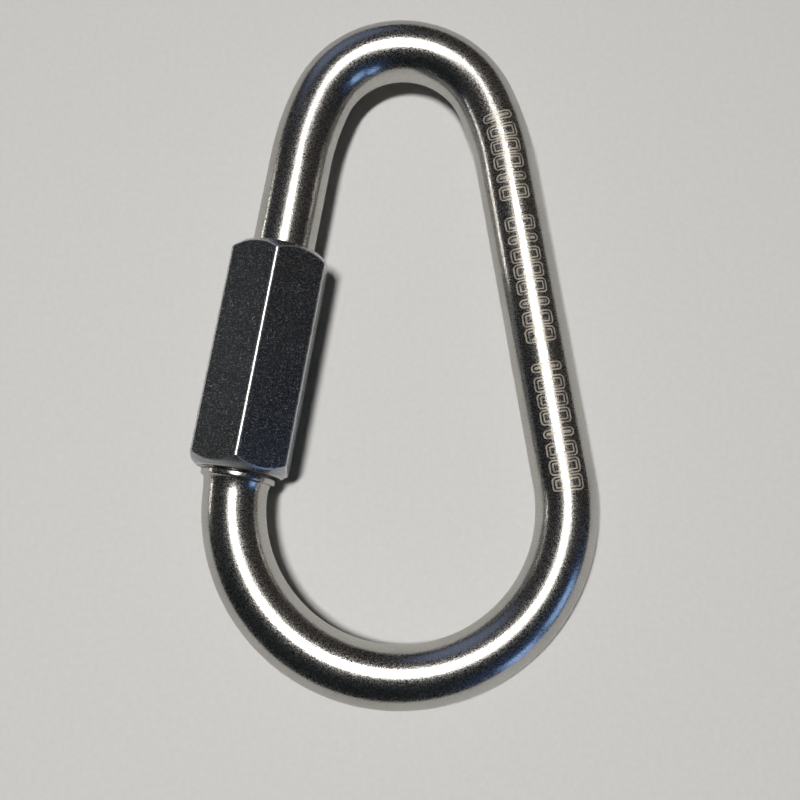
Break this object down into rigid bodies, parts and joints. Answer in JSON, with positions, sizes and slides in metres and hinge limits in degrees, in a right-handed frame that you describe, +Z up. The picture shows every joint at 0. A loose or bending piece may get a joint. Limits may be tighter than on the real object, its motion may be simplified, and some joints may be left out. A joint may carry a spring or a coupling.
{
  "type": "pear-shaped screw-lock carabiner link",
  "caption": "Pear-shaped steel connector, one bent round bar whose gate gap is closed and locked by a long hexagonal screw sleeve.",
  "frame": {"origin": "on the table plane, under the middle of the whole part's box", "axes": "+Y from the wide bow to the narrow bow, +X from the sleeve arm to the plain arm, +Z up from the table that the part lies on"},
  "size_m": [0.0773, 0.1365, 0.0204],
  "materials": {
    "link_steel": "tumbled and polished stainless steel, bright with a fine grain",
    "sleeve_steel": "bead-blasted stainless steel, dull grey with bright edges"
  },
  "bodies": {
    "link": {"link_body": "link_steel"},
    "sleeve_carrier": {"sleeve_bore_band": "sleeve_steel"},
    "sleeve": {"screw_sleeve": "sleeve_steel"}
  },
  "joints": [
    {"name": "sleeve_travel", "type": "slide", "parent": "link", "child": "sleeve_carrier", "axis": [0.1633, 0.9866, 0], "range_m": [0, 0.021]},
    {"name": "sleeve_turn", "type": "hinge", "parent": "sleeve_carrier", "child": "sleeve", "pos_m": [-0.02954, -0.02416, 0.01018], "axis": [0.1633, 0.9866, 0], "range_deg": [0, 5040]}
  ],
  "couplings": [
    {"joint": "sleeve_travel", "follows": "sleeve_turn", "m_per_rad": 0.00023873}
  ]
}
